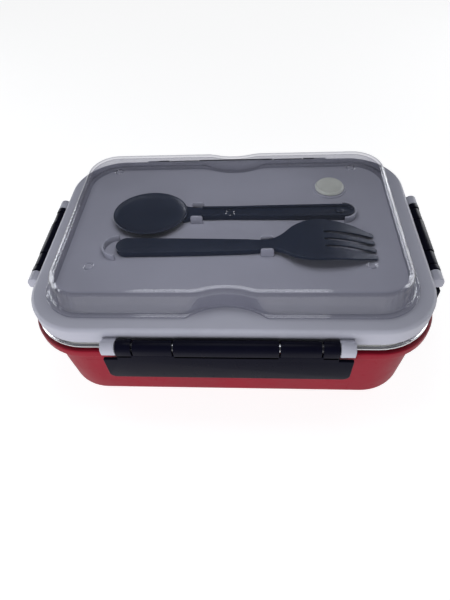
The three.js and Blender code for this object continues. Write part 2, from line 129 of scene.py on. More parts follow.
def cover_outline(outset, depth, radius, blend):
    """The cover's outline with a finger scoop of that depth and radius in each long edge.

    blend is the radius of the round corner where the scoop meets the straight edge.
    """
    steps = 12
    cx, cy = COVER_HALF[0] - COVER_RADIUS, COVER_HALF[1] - COVER_RADIUS
    corner = COVER_RADIUS + outset
    edge_y = COVER_HALF[1] + outset
    scoop_y = edge_y - depth + radius
    blend_y = edge_y - blend
    blend_x = math.sqrt((radius + blend) ** 2 - (scoop_y - blend_y) ** 2)
    lean = math.degrees(math.atan2(scoop_y - blend_y, blend_x))
    points = []
    for turn, flip in ((0, 1), (180, -1)):
        runs = [
            arc(flip * cx, flip * cy, corner, turn, turn + 90, steps),
            arc(flip * blend_x, flip * blend_y, blend, turn + 90, turn + 180 - lean, steps // 2),
            arc(0, flip * scoop_y, radius, turn - lean, turn - 180 + lean, steps),
            arc(-flip * blend_x, flip * blend_y, blend, turn + lean, turn + 90, steps // 2),
            arc(-flip * cx, flip * cy, corner, turn + 90, turn + 180, steps),
        ]
        points += [point for run in runs for point in run]
    return clean(points)


def lip_outline(outset):
    """The cover's lip: its scoop is a plain round bite with nearly sharp corners."""
    return cover_outline(outset, 8, 36 - outset, 1 + outset)


def wall_outline(outset, behind):
    """The cover's wall, whose scoop stands upright; behind is the depth below its outside."""
    depth = COVER_HALF[1] + outset - WALL_SCOOP_Y + behind
    return cover_outline(outset, depth, WALL_SCOOP_RADIUS + behind, WALL_SCOOP_BLEND - behind)


# ---- mesh building -------------------------------------------------------------------------


def lift(points, z):
    """Flat points at one height."""
    return [(x, y, z) for x, y in points]


def add_rings(bm, rings, closed=False, caps=(True, True)):
    """Skins over a stack of rings with equal counts; caps close the first and last ring."""
    rows = [[bm.verts.new(Vector(point) * MM) for point in ring] for ring in rings]
    count = len(rows[0])
    for k in range(len(rows) if closed else len(rows) - 1):
        low, high = rows[k], rows[(k + 1) % len(rows)]
        for i in range(count):
            j = (i + 1) % count
            bm.faces.new((low[i], low[j], high[j], high[i]))
    if not closed:
        if caps[0]:
            bm.faces.new(list(reversed(rows[0])))
        if caps[1]:
            bm.faces.new(rows[-1])
    return rows


def add_revolved(bm, profile, x=0.0, y=0.0, steps=48, stretch=1.0):
    """Revolves [radius, z] points about a vertical line; a radius of zero closes the end."""
    rows = []
    for radius, z in profile:
        if radius < 1e-6:
            rows.append([bm.verts.new(Vector((x, y, z)) * MM)])
            continue
        row = arc(0, 0, radius, 0, 360 - 360 / steps, steps - 1)
        rows.append([bm.verts.new(Vector((x + stretch * u, y + v, z)) * MM) for u, v in row])
    for low, high in zip(rows, rows[1:]):
        for i in range(steps):
            j = (i + 1) % steps
            if len(low) == 1:
                bm.faces.new((low[0], high[j], high[i]))
            elif len(high) == 1:
                bm.faces.new((low[i], low[j], high[0]))
            else:
                bm.faces.new((low[i], low[j], high[j], high[i]))
    return rows


def add_prism(bm, outline, start, end, place=Matrix.Identity(4), bevel=0.0, segments=3):
    """Extrudes an outline along local Z, rounds its edges and puts it in place."""
    piece = bmesh.new()
    add_rings(piece, [lift(outline, start), lift(outline, end)])
    finish_part(bm, piece, place, bevel, segments)


def finish_part(bm, piece, place=Matrix.Identity(4), bevel=0.0, segments=3):
    """Rounds the sharp edges of one closed part and adds it to a mesh."""
    bmesh.ops.recalc_face_normals(piece, faces=piece.faces)
    if bevel:
        sharp = [e for e in piece.edges if len(e.link_faces) == 2 and e.calc_face_angle() > 0.6]
        bmesh.ops.bevel(
            piece, geom=sharp, offset=bevel * MM, segments=segments, profile=0.5,
            affect="EDGES", clamp_overlap=True,
        )
    move = place.copy()
    move.translation = move.translation * MM
    bmesh.ops.transform(piece, matrix=move, verts=piece.verts)
    part = bpy.data.meshes.new("part")
    piece.to_mesh(part)
    piece.free()
    bm.from_mesh(part)
    bpy.data.meshes.remove(part)


def make_object(name, bm, material, sharp_degrees=35):
    """Turns a finished bmesh into a smooth-shaded object."""
    bmesh.ops.recalc_face_normals(bm, faces=bm.faces)
    mesh = bpy.data.meshes.new(name)
    bm.to_mesh(mesh)
    bm.free()
    mesh.shade_smooth()
    mesh.set_sharp_from_angle(angle=math.radians(sharp_degrees))
    mesh.materials.append(material)
    obj = bpy.data.objects.new(name, mesh)
    bpy.context.scene.collection.objects.link(obj)
    return obj


def settle(obj, node, body):
    """Makes a piece stand for a CAD node and ride on its body."""
    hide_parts(node)
    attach(obj, body)


def basis(x_axis, y_axis):
    """Matrix whose local X and Y axes are given; local Z is their cross product."""
    x_axis, y_axis = Vector(x_axis), Vector(y_axis)
    return Matrix((x_axis, y_axis, x_axis.cross(y_axis))).transposed().to_4x4()


ALONG_X = basis((0, 1, 0), (0, 0, 1))
UPRIGHT = basis((1, 0, 0), (0, 0, 1))


# ---- materials -----------------------------------------------------------------------------


class Nodes:
    """Short way to build a node tree around one Principled shader."""

    def __init__(self, name):
        self.material = bpy.data.materials.new(name)
        self.material.use_nodes = True
        self.tree = self.material.node_tree
        self.shader = self.tree.nodes["Principled BSDF"]
        self.place = self.add("ShaderNodeTexCoord").outputs["Object"]

    def add(self, kind, **values):
        node = self.tree.nodes.new(kind)
        for key, value in values.items():
            setattr(node, key, value)
        return node

    def link(self, source, target):
        self.tree.links.new(source, target)

    def axes(self):
        """X, Y and Z of the point, in metres."""
        split = self.add("ShaderNodeSeparateXYZ")
        self.link(self.place, split.inputs["Vector"])
        return split.outputs["X"], split.outputs["Y"], split.outputs["Z"]

    def noise(self, scale, detail=3.0, stretch=(1, 1, 1), roughness=0.5):
        """Noise in object space; scale is in features per metre."""
        mapping = self.add("ShaderNodeMapping")
        mapping.inputs["Scale"].default_value = stretch
        self.link(self.place, mapping.inputs["Vector"])
        noise = self.add("ShaderNodeTexNoise")
        noise.inputs["Scale"].default_value = scale
        noise.inputs["Detail"].default_value = detail
        noise.inputs["Roughness"].default_value = roughness
        self.link(mapping.outputs["Vector"], noise.inputs["Vector"])
        return noise.outputs["Fac"]

    def spread(self, source, low, high, start=0.3, end=0.7):
        """Maps a noise value onto a range."""
        ranged = self.add("ShaderNodeMapRange")
        ranged.inputs["From Min"].default_value = start
        ranged.inputs["From Max"].default_value = end
        ranged.inputs["To Min"].default_value = low
        ranged.inputs["To Max"].default_value = high
        self.link(source, ranged.inputs["Value"])
        return ranged.outputs["Result"]

    def ramp(self, source, stops):
        """Colour ramp through (position, colour) stops."""
        ramp = self.add("ShaderNodeValToRGB")
        elements = ramp.color_ramp.elements
        while len(elements) < len(stops):
            elements.new(0.5)
        for element, (position, colour) in zip(elements, stops):
            element.position = position
            element.color = (*colour, 1)
        self.link(source, ramp.inputs["Fac"])
        return ramp.outputs["Color"]

    def maths(self, first, second, operation="ADD"):
        """Math node on one output and a number or another output."""
        maths = self.add("ShaderNodeMath", operation=operation)
        self.link(first, maths.inputs[0])
        if isinstance(second, (int, float)):
            maths.inputs[1].default_value = second
        else:
            self.link(second, maths.inputs[1])
        return maths.outputs["Value"]

    def absolute(self, source):
        return self.maths(source, 0, "ABSOLUTE")

    def bump(self, height, strength, distance):
        """Normal roughened by a height pattern; distance is in metres."""
        bump = self.add("ShaderNodeBump")
        bump.inputs["Strength"].default_value = strength
        bump.inputs["Distance"].default_value = distance
        self.link(height, bump.inputs["Height"])
        return bump.outputs["Normal"]

    def beads(self, direction):
        """Fine waves about 3.3 mm apart across one direction."""
        wave = self.add("ShaderNodeTexWave", wave_type="BANDS", bands_direction=direction)
        wave.inputs["Scale"].default_value = 95
        wave.inputs["Distortion"].default_value = 2.0
        wave.inputs["Detail Scale"].default_value = 3
        self.link(self.place, wave.inputs["Vector"])
        return wave.outputs["Fac"]

    def scratches(self, scale=90):
        """Sparse hairlines in two directions, as a mask."""
        one = self.noise(scale, 2, (0.12, 6, 3))
        other = self.noise(scale, 2, (5, 0.2, 3))
        masks = [self.spread(line, 0, 1, 0.66, 0.74) for line in (one, other)]
        return self.maths(*masks, "MAXIMUM")


def shade(colour, factor):
    """The colour made lighter or darker by a factor."""
    return tuple(min(1.0, channel * factor) for channel in colour)


def moulded(name, colour, roughness, gloss, grain=0.03, spread=0.08):
    """Moulded plastic: slow colour drift, handling marks, fine texture and a soft gloss."""
    n = Nodes(name)
    drift = n.noise(22, 4)
    n.link(
        n.ramp(drift, [(0.3, shade(colour, 1 - spread)), (0.7, shade(colour, 1 + spread))]),
        n.shader.inputs["Base Color"],
    )
    smudge = n.spread(n.noise(45, 6, roughness=0.6), roughness - 0.06, roughness + 0.08)
    marks = n.maths(n.scratches(), 0.12, "MULTIPLY")
    n.link(n.maths(smudge, marks), n.shader.inputs["Roughness"])
    texture = n.noise(2600, 2)
    sink = n.noise(60, 2)
    height = n.maths(n.maths(texture, grain, "MULTIPLY"), n.maths(sink, 0.25, "MULTIPLY"))
    n.link(n.bump(height, 0.5, 0.0004), n.shader.inputs["Normal"])
    n.shader.inputs["Specular IOR Level"].default_value = gloss
    return n.material


def silicone(name, colour):
    """Slightly translucent rubber with a dusty matt surface."""
    n = Nodes(name)
    n.link(
        n.ramp(n.noise(180, 5), [(0.3, shade(colour, 0.93)), (0.7, shade(colour, 1.05))]),
        n.shader.inputs["Base Color"],
    )
    n.link(n.spread(n.noise(400, 4), 0.5, 0.68), n.shader.inputs["Roughness"])
    n.link(n.bump(n.noise(1500, 3), 0.25, 0.0002), n.shader.inputs["Normal"])
    n.shader.inputs["Subsurface Weight"].default_value = 0.15
    n.shader.inputs["Subsurface Radius"].default_value = (0.002, 0.002, 0.0018)
    n.shader.inputs["Subsurface Scale"].default_value = 1.0
    n.shader.inputs["Sheen Weight"].default_value = 0.1
    return n.material


def pressed_steel(name, colour):
    """Satin stainless steel with fine rolling lines and draw marks."""
    n = Nodes(name)
    lines = n.noise(900, 3, (0.03, 1, 1))
    n.link(
        n.ramp(n.noise(30, 4), [(0.3, shade(colour, 0.91)), (0.7, shade(colour, 1.09))]),
        n.shader.inputs["Base Color"],
    )
    n.shader.inputs["Metallic"].default_value = 1.0
    satin = n.spread(lines, 0.2, 0.34)
    n.link(n.maths(satin, n.maths(n.scratches(60), 0.1, "MULTIPLY")), n.shader.inputs["Roughness"])
    draw = n.noise(70, 2)
    height = n.maths(n.maths(lines, 0.06, "MULTIPLY"), n.maths(draw, 0.3, "MULTIPLY"))
    n.link(n.bump(height, 0.4, 0.0004), n.shader.inputs["Normal"])
    return n.material


def end_shoulders(n):
    """Mask of the cover's round edge at both ends and round its front corners."""
    x, y, _ = n.axes()
    out = n.absolute(x)
    side = n.spread(out, 0, 1, 0.098, 0.101)
    corner = n.spread(n.maths(out, n.absolute(y)), 0, 1, 0.149, 0.152)
    front = n.spread(y, 1, 0, 0.005, 0.03)
    return n.maths(n.maths(side, corner, "MAXIMUM"), front, "MULTIPLY")


def wavy_skin(n):
    """Normal of the cover: slow sink marks, and fine beads along its end shoulders."""
    beads = n.maths(n.beads("X"), n.beads("Y"))
    beads = n.maths(n.maths(beads, end_shoulders(n), "MULTIPLY"), 0.35, "MULTIPLY")
    sink = n.maths(n.noise(28, 2), 0.6, "MULTIPLY")
    return n.bump(n.maths(beads, sink), 0.5, 0.0005)


def tint_with_painted_wall_shade(n, facing):
    """Colour seen through the plastic: nearly clear where it lies flat, darker where it stands, as
    painted shade for the refraction and shade seen through the walls.
    """
    geometry = n.add("ShaderNodeNewGeometry")
    normal = n.add("ShaderNodeSeparateXYZ")
    n.link(geometry.outputs["True Normal"], normal.inputs["Vector"])
    flat = n.spread(n.absolute(normal.outputs["Z"]), 0, 1, 0.8, 0.98)
    # Painted shade: standing walls darken, most at a slant, in place of the refraction and shade seen
    # through them.
    wall = n.ramp(
        facing, [(0.22, (0.8, 0.8, 0.82)), (0.5, (0.68, 0.68, 0.72)), (0.8, (0.5, 0.5, 0.54))]
    )
    tint_and_wall_shade = n.add("ShaderNodeMix", data_type="RGBA")
    n.link(flat, tint_and_wall_shade.inputs["Factor"])
    n.link(wall, tint_and_wall_shade.inputs["A"])
    tint_and_wall_shade.inputs["B"].default_value = (0.955, 0.955, 0.965, 1)
    return tint_and_wall_shade.outputs["Result"]


def clear_plastic(name):
    """Thin clear wall: a tinted see-through part, with painted shade on its standing walls, under a
    skin that mirrors more at a slant.
    """
    n = Nodes(name)
    n.tree.nodes.remove(n.shader)
    normal = wavy_skin(n)
    weight = n.add("ShaderNodeLayerWeight")
    weight.inputs["Blend"].default_value = 0.5
    n.link(normal, weight.inputs["Normal"])
    facing = weight.outputs["Facing"]
    clear = n.add("ShaderNodeBsdfTransparent")
    n.link(tint_with_painted_wall_shade(n, facing), clear.inputs["Color"])
    gloss = n.add("ShaderNodeBsdfGlossy")
    gloss.inputs["Color"].default_value = (1, 1, 1, 1)
    n.link(n.spread(n.noise(40, 5), 0.04, 0.12), gloss.inputs["Roughness"])
    n.link(normal, gloss.inputs["Normal"])
    slant = n.maths(facing, 5, "POWER")
    mix = n.add("ShaderNodeMixShader")
    n.link(n.spread(slant, 0.04, 0.9, 0, 1), mix.inputs["Fac"])
    n.link(clear.outputs["BSDF"], mix.inputs[1])
    n.link(gloss.outputs["BSDF"], mix.inputs[2])
    n.link(mix.outputs["Shader"], n.tree.nodes["Material Output"].inputs["Surface"])
    return n.material


TUB_RED = moulded("tub_red_plastic", (0.23, 0.007, 0.019), 0.45, 0.09)
LID_GREY = moulded("lid_grey_plastic", (0.40, 0.40, 0.455), 0.42, 0.09, spread=0.03)
LATCH_BLACK = moulded("latch_black_plastic", (0.004, 0.004, 0.010), 0.3, 0.035, grain=0.01)
CUTLERY_DARK = moulded("cutlery_dark_plastic", (0.011, 0.018, 0.039), 0.42, 0.22, grain=0.02)
PLUG_SILICONE = silicone("plug_silicone", (0.58, 0.59, 0.52))
SEAL_SILICONE = silicone("seal_silicone", (0.55, 0.55, 0.52))
TRAY_STEEL = pressed_steel("tray_steel", (0.66, 0.66, 0.68))
PIN_STEEL = pressed_steel("pin_steel", (0.36, 0.36, 0.37))
COVER_CLEAR = clear_plastic("cover_clear_plastic")


# ---- tub -----------------------------------------------------------------------------------


def build_tub():
    """Drafted wall, rounded foot with a shallow base recess, and a flange near the lip."""
    foot, wall, recess = 8, 2.2, 0.5
    foot_outset, wall_outset = -4.9, -2.9
    flange_low = TUB_TOP - 6
    outside = [(-22.6, recess), (-22.2, 0.4), (-21.6, 0.05), (-21.2, 0)]
    outside += arc(foot_outset - foot, foot, foot, -90, 0, 12)
    outside += [(-3.6, 30), (wall_outset - 0.1, flange_low - 6)]
    outside += arc(0.4, flange_low - 3.2, 3.2, 180, 93, 7)
    outside += [(0.9, flange_low)]
    outside += arc(FLANGE_OUTSET - 0.8, flange_low + 0.8, 0.8, -90, 0, 4)
    outside += arc(FLANGE_OUTSET - 1, TUB_TOP - 1, 1, 0, 90, 5)
    inner = wall_outset - wall
    inside = arc(inner + 0.6, TUB_TOP - 0.6, 0.6, 90, 180, 3)
    inside += arc(foot_outset - foot, foot, foot - wall, 0, -90, 10)
    bm = bmesh.new()
    add_rings(bm, [lift(lid_outline(outset), z) for outset, z in outside + inside])
    gate = [(3.4, recess), (3.1, 0.28), (2.4, 0.28), (2.1, recess), (2.1, 1.0), (3.4, 1.0)]
    add_revolved(bm, gate + gate[:1], steps=32)
    return make_object("tub_shell", bm, TUB_RED)


# ---- tray ----------------------------------------------------------------------------------

TRAY_SHEET, TRAY_WALL, TRAY_CREST, TRAY_FLOOR = 0.7, -9.7, 48, 6
TRAY_SPLIT, DIVIDER_HALF, DIVIDER_ROUND = 22, 2.6, 2.0


def compartment(x_range, y_range, radii, inner_sides):
    """Points round one compartment as (x, y, normal x, normal y, share of the crest round).

    Corners run anticlockwise from the right back one. inner_sides says which of the right,
    back, left and front sides lie along a divider.
    """
    (x0, x1), (y0, y1) = x_range, y_range
    corners = [(x1, y1, -1, -1), (x0, y1, 1, -1), (x0, y0, 1, 1), (x1, y0, -1, 1)]
    steps = 12
    loops = []
    for i, (x, y, to_x, to_y) in enumerate(corners):
        cx, cy = x + to_x * radii[i], y + to_y * radii[i]
        start, end = inner_sides[i], inner_sides[(i + 1) % 4]
        run = []
        for k in range(steps + 1):
            share = k / steps
            angle = math.radians(90 * (i + share))
            nx, ny = math.cos(angle), math.sin(angle)
            ease = share * share * (3 - 2 * share)
            weight = start + (end - start) * ease
            run.append((cx + radii[i] * nx, cy + radii[i] * ny, nx, ny, weight))
        loops.append(run)
    return loops


def tray_compartments():
    """The large compartment on the left, then the small ones at the right back and front."""
    west, south = -LID_HALF[0] - TRAY_WALL, -LID_HALF[1] - TRAY_WALL
    left, right = TRAY_SPLIT - DIVIDER_HALF, TRAY_SPLIT + DIVIDER_HALF
    outer, inner = LID_RADIUS + TRAY_WALL, 16
    return (
        compartment((west, left), (south, -south), (inner, outer, outer, inner), (1, 0, 0, 0)),
        compartment((right, -west), (DIVIDER_HALF, -south), (outer, inner, inner, inner), (0, 0, 1, 1)),
        compartment((right, -west), (south, -DIVIDER_HALF), (inner, inner, inner, outer), (0, 1, 1, 0)),
    )


def pocket_rings(plan):
    """Rings of one compartment, from its floor up its drafted wall and over the crest."""
    draft, fillet = 2.2, 5.3
    points = [point for run in plan for point in run]
    wall = arc(-draft - fillet, TRAY_FLOOR + fillet, fillet, -90, 0, 8)
    wall += [(-draft * 0.55, 30), (0, TRAY_CREST - DIVIDER_ROUND)]
    rings = [[(x + o * nx, y + o * ny, z) for x, y, nx, ny, _ in points] for o, z in wall]
    for k in range(1, 7):
        angle = math.radians(15 * k)
        out = DIVIDER_ROUND * (1 - math.cos(angle))
        z = TRAY_CREST - DIVIDER_ROUND * (1 - math.sin(angle))
        rings.append([(x + out * w * nx, y + out * w * ny, z) for x, y, nx, ny, w in points])
    return rings


def add_divider_tops(bm, big, back, front, count):
    """Closes the flat web between the three crests; count is the points of one corner."""
    web = big[3 * count:] + big[:count] + back[count:] + front[:3 * count]
    face = bm.faces.new([bm.verts.new(Vector(point) * MM) for point in web])
    bmesh.ops.triangulate(bm, faces=[face])


def add_tray_rim(bm, big, back, front, count):
    """Joins the crests' outer sides to the rolled rim."""
    outer = back[:count + 1] + [big[count - 1]] + big[count:3 * count + 1]
    outer += [front[3 * count - 1]] + front[3 * count:] + [front[0], back[-1]]
    rim = [(0, TRAY_CREST), (0.3, 53), (0.7, TRAY_HIGH.z - 2.6)]
    rim += arc(2.5, TRAY_HIGH.z - 1.8, 1.8, 180, 90, 6)
    rim += [(6.0, TRAY_HIGH.z - 0.05)]
    rim += arc(8.7, TRAY_HIGH.z - 1.3, 1.3, 90, -110, 12)
    normals = [outward(x, y) for x, y, _ in outer]
    rings = [
        [(x + o * nx, y + o * ny, z) for (x, y, _), (nx, ny) in zip(outer, normals)] for o, z in rim
    ]
    add_rings(bm, rings, caps=(False, False))


def build_tray():
    """Pressed sheet: three compartments, dividers with rounded crests and a rolled rim."""
    bm = bmesh.new()
    plans = tray_compartments()
    crests = []
    for plan in plans:
        rings = pocket_rings(plan)
        add_rings(bm, rings, caps=(True, False))
        crests.append(rings[-1])
    count = len(plans[0][0])
    add_divider_tops(bm, *crests, count)
    add_tray_rim(bm, *crests, count)
    bmesh.ops.remove_doubles(bm, verts=bm.verts, dist=0.02 * MM)
    tray = make_object("tray_pressing", bm, TRAY_STEEL, 50)
    thick = tray.modifiers.new("sheet", "SOLIDIFY")
    thick.thickness = TRAY_SHEET * MM
    thick.offset = -1
    thick.use_even_offset = True
    return tray


def outward(x, y):
    """Outward normal of the lid's outline family at a point on one of its curves."""
    cx, cy = LID_CORNER
    dx = math.copysign(max(abs(x) - cx, 0), x)
    dy = math.copysign(max(abs(y) - cy, 0), y)
    size = math.hypot(dx, dy)
    return dx / size, dy / size


# ---- lid -----------------------------------------------------------------------------------

LUG_WIDTH, LUG_REACH = 8.0, 8.8
LUG_LOW, LUG_ROOT, LUG_HIGH = 65.2, 66.2, 71.2
# Each side's own frame, whose -Y points outwards, and where its lugs begin along the side.
SIDES = {
    "front": (Matrix.Translation((0, -LID_HALF[1], 0)), 61.2),
    "back": (Matrix.Translation((0, LID_HALF[1], 0)) @ Matrix.Rotation(math.pi, 4, "Z"), 61.2),
    "left": (Matrix.Translation((-LID_HALF[0], 0, 0)) @ Matrix.Rotation(-math.pi / 2, 4, "Z"), 31),
    "right": (Matrix.Translation((LID_HALF[0], 0, 0)) @ Matrix.Rotation(math.pi / 2, 4, "Z"), 31),
}


def add_plate_with_hole(bm, outline, hole, z_low, z_high):
    """Flat plate between two heights with one round hole; its outer edge stays open."""
    loops = [lift(outline, 0), lift(hole, 0)]
    points = [Vector(point) for loop in loops for point in loop]
    triangles = tessellate_polygon([[Vector(point) for point in loop] for loop in loops])
    for z in (z_low, z_high):
        verts = [bm.verts.new(Vector((point.x, point.y, z)) * MM) for point in points]
        for triangle in triangles:
            bm.faces.new([verts[i] for i in triangle])
    add_rings(bm, [lift(hole, z_low), lift(hole, z_high)], caps=(False, False))


def add_lug(bm, side, low_x, high_x):
    """Hinge lug hanging from the lid's side wall, in that side's own frame."""
    place, _ = SIDES[side]
    section = [(1.0, LUG_ROOT), (1.0, LUG_HIGH)]
    section += arc(-1.0, LUG_HIGH + 1.2, 1.2, 270, 235, 3)
    section += arc(-HINGE_OUT, HINGE_Z, LUG_REACH - HINGE_OUT, 68, 180, 12)
    section += arc(-LUG_REACH + 1.4, LUG_LOW + 1.4, 1.4, 180, 270, 4)
    section += [(-0.8, LUG_LOW), (-0.8, LUG_ROOT)]
    move = place @ Matrix.Translation((low_x, 0, 0)) @ ALONG_X
    add_prism(bm, section, 0, high_x - low_x, move, bevel=0.45)


def add_finger_wall(bm, x, y, radius, facing):
    """Half-round wall about the free end of a piece of cutlery."""
    wall = 1.4
    outline = arc(x, y, radius, facing - 90, facing + 90, 24)
    outline += arc(x, y, radius - wall, facing + 90, facing - 90, 24)
    add_prism(bm, outline, ROOT_Z, RIM_Z + 4.5, bevel=0.35, segments=2)


def add_neck_clip(bm, x, y, half_gap):
    """Pair of prongs with rounded tips that grip the cutlery at its neck."""
    wall, half_width, tip, tip_z = 1.4, 4, 1.6, RIM_Z + 4.4
    for sign in (-1, 1):
        near, far = sorted((y + sign * half_gap, y + sign * (half_gap + wall)))
        tab = [(x - half_width, ROOT_Z), (x + half_width, ROOT_Z)]
        tab += arc(x + half_width - tip, tip_z, tip, 0, 90, 5)
        tab += arc(x - half_width + tip, tip_z, tip, 90, 180, 5)
        add_prism(bm, tab, -far, -near, UPRIGHT, bevel=0.3, segments=2)


def lid_profile(under):
    """Section of the lid's edge: top, skirt, and two sealing ribs that hang from its underside."""
    skirt, edge = 65.5, 2.5
    profile = [(-32, RIM_Z), (-6, RIM_Z)]
    profile += arc(-edge, RIM_Z - edge, edge, 90, 0, 8)
    profile += [(0, 70)]
    profile += arc(-0.5, skirt + 0.5, 0.5, 0, -90, 3)
    profile += arc(-1.6, skirt + 0.4, 0.4, -90, -180, 2)
    profile += [(-2.3, under), (-4.6, under), (-4.7, 68.6)]
    profile += arc(-5.35, 68.75, 0.6, -20, -160, 4)
    profile += [(-6.1, under), (-8.4, under), (-8.6, 64.6)]
    profile += arc(-9.45, 64.8, 0.8, -20, -160, 4)
    return profile + [(-10.5, under), (-32, under)]


def add_vent_boss(bm):
    """Low ring round the vent hole that the plug sits on."""
    inside, foot = (VENT_HOLE, ROOT_Z), (11.4, ROOT_Z)
    boss = [inside, (VENT_HOLE, RIM_Z + 0.6), (VENT_HOLE + 0.3, RIM_Z + 0.8)]
    boss += arc(10.9, RIM_Z + 0.3, 0.5, 90, 0, 4) + [foot, inside]
    ring = bmesh.new()
    add_revolved(ring, boss, PLUG_X, PLUG_Y)
    bmesh.ops.remove_doubles(ring, verts=ring.verts, dist=0.001 * MM)
    finish_part(bm, ring)


def build_lid():
    """Flat top with a round edge, skirt, sealing ribs below, and all that is moulded on it."""
    under = RIM_Z - 2.5
    bm = bmesh.new()
    add_rings(bm, [lift(lid_outline(o), z) for o, z in lid_profile(under)], caps=(False, False))
    hole = arc(PLUG_X, PLUG_Y, VENT_HOLE, 0, 352.5, 47)
    add_plate_with_hole(bm, lid_outline(-32), hole, under, RIM_Z)
    bmesh.ops.remove_doubles(bm, verts=bm.verts, dist=0.01 * MM)
    add_vent_boss(bm)
    fork_y = (FORK_LOW.y + FORK_HIGH.y) / 2
    add_finger_wall(bm, -71.5, fork_y + 0.3, 9.6, 180)
    add_finger_wall(bm, 73, SPOON_Y, 8.6, 0)
    add_neck_clip(bm, 23, fork_y, 5.2)
    add_neck_clip(bm, -23, SPOON_Y, 6.6)
    for side, (_, inner) in SIDES.items():
        add_lug(bm, side, inner, inner + LUG_WIDTH)
        add_lug(bm, side, -inner - LUG_WIDTH, -inner)
    return make_object("lid_moulding", bm, LID_GREY)


def build_gasket():
    """Soft ring with two sealing lips below."""
    low, high = GASKET_LOW.z, GASKET_HIGH.z
    profile = arc(-3.5, high - 0.8, 0.8, 0, 90, 3) + arc(-7.3, high - 0.8, 0.8, 90, 180, 3)
    profile += [(-7.95, low + 1.2)] + arc(-7.4, low + 0.5, 0.5, 180, 330, 4)
    profile += [(-5.4, low + 1.9)] + arc(-3.4, low + 0.5, 0.5, 210, 360, 4)
    bm = bmesh.new()
    add_rings(bm, [lift(lid_outline(o), z) for o, z in profile], closed=True)
    return make_object("seal_ring", bm, SEAL_SILICONE)


def build_plug():
    """Mushroom plug with a soft raised edge."""
    seat, top = RIM_Z + 1.1, PLUG_HIGH.z
    radius = (PLUG_HIGH.x - PLUG_LOW.x) / 2
    stem = 5.7
    profile = [(0, PLUG_LOW.z)] + arc(stem - 1, PLUG_LOW.z + 1, 1, -90, 0, 4) + [(stem, seat)]
    profile += arc(radius - 0.5, seat + 0.5, 0.5, -90, 0, 3)
    profile += arc(radius - 1.3, top - 0.6, 0.6, 20, 90, 4)
    profile += [(radius - 1.8, top - 0.08), (radius - 2.3, top - 0.28)]
    profile += [(4, top - 0.3), (0, top - 0.3)]
    bm = bmesh.new()
    add_revolved(bm, profile, PLUG_X, PLUG_Y, steps=64)
    return make_object("plug_cap", bm, PLUG_SILICONE)


# ---- clear cover ---------------------------------------------------------------------------


def build_cover():
    """Lip, drafted wall with a round top edge, thin all over, with moulding gate rings."""
    base, top, wall = COVER_LOW.z, COVER_HIGH.z, 1.8
    centre = (-COVER_DRAFT - COVER_EDGE, top - COVER_EDGE)
    lip = [(-0.25, base), (0, base + 0.25)] + arc(-0.3, base + 1.0, 0.3, 0, 90, 3)
    foot = arc(-1.9, base + 2.0, 0.7, -90, -160, 3)
    edge = arc(*centre, COVER_EDGE, 0, 90, 8)
    outside = [lift(lip_outline(o), z) for o, z in lip]
    outside += [lift(wall_outline(o, max(0, -o - COVER_DRAFT)), z) for o, z in foot + edge]
    inner_edge = arc(*centre, COVER_EDGE - wall, 90, 0, 6)
    inside = inner_edge + [(-2.6 - wall, base + 0.6), (-2.4 - wall, base)]
    hollow = [lift(wall_outline(o, max(wall, -o - COVER_DRAFT)), z) for o, z in inside]
    bm = bmesh.new()
    rows = add_rings(bm, outside, caps=(False, True))
    inner = add_rings(bm, hollow, caps=(True, False))
    count = len(rows[0])
    for i in range(count):
        j = (i + 1) % count
        bm.faces.new((inner[-1][i], inner[-1][j], rows[0][j], rows[0][i]))
    gate = ((1.9, -0.4), (2.3, -0.02), (2.7, -0.02), (3.1, -0.4), (2.5, -0.6))
    gate_x, gate_y = 79.7, 45.6
    corners = [(x, y) for y in (gate_y, -gate_y) for x in (gate_x, -gate_x)]
    for x, y in [(0, 0)] + corners:
        circles = [lift(arc(x, y, radius, 0, 350, 35), top + z) for radius, z in gate]
        ring = bmesh.new()
        add_rings(ring, circles, closed=True)
        finish_part(bm, ring)
    return make_object("cover_shell", bm, COVER_CLEAR)


# ---- cutlery -------------------------------------------------------------------------------


def value_at(table, x):
    """Value at x of a smooth curve through (x, value) points."""
    if x <= table[0][0]:
        return table[0][1]
    if x >= table[-1][0]:
        return table[-1][1]
    i = max(k for k in range(len(table) - 1) if table[k][0] <= x)
    (x0, y0), (x1, y1) = table[i], table[i + 1]
    before = table[i - 1] if i else (2 * x0 - x1, y0)
    after = table[i + 2] if i + 2 < len(table) else (2 * x1 - x0, y1)
    m0 = (y1 - before[1]) / (x1 - before[0]) * (x1 - x0)
    m1 = (after[1] - y0) / (after[0] - x0) * (x1 - x0)
    t = (x - x0) / (x1 - x0)
    return (
        (2 * t ** 3 - 3 * t ** 2 + 1) * y0 + (t ** 3 - 2 * t ** 2 + t) * m0
        + (3 * t ** 2 - 2 * t ** 3) * y1 + (t ** 3 - t ** 2) * m1
    )


# The fork by its length: height of its upper face above the lid, its depth, its half width.
FORK_TOP = [
    (-73, 4.2), (20, 4.2), (30, 5.8), (40, 8.0), (50, 9.1), (60, 8.9), (70, 7.3), (80, 4.6), (90, 1.6),
]
FORK_DEPTH = [(-73, 3.9), (15, 3.9), (26, 3.1), (40, 2.4), (56, 1.9), (64, 1.4), (80, 1.3), (90, 1.2)]
FORK_HALF = [
    (-65, 6.8), (-30, 6.2), (10, 5.0), (20, 4.2), (26, 4.4), (32, 7.2), (39, 13.0), (47, 16.4),
    (53, 17.1), (59, 17.1), (75, 14.8), (88.9, 10.9),
]
FORK_END = 6.8
TINES = (9.6, 3.2, -3.2, -9.6)
TINE_SLOTS = (6.2, 0.0, -6.2)
SLOT_START, SLOT_HALF = 60, 1.0


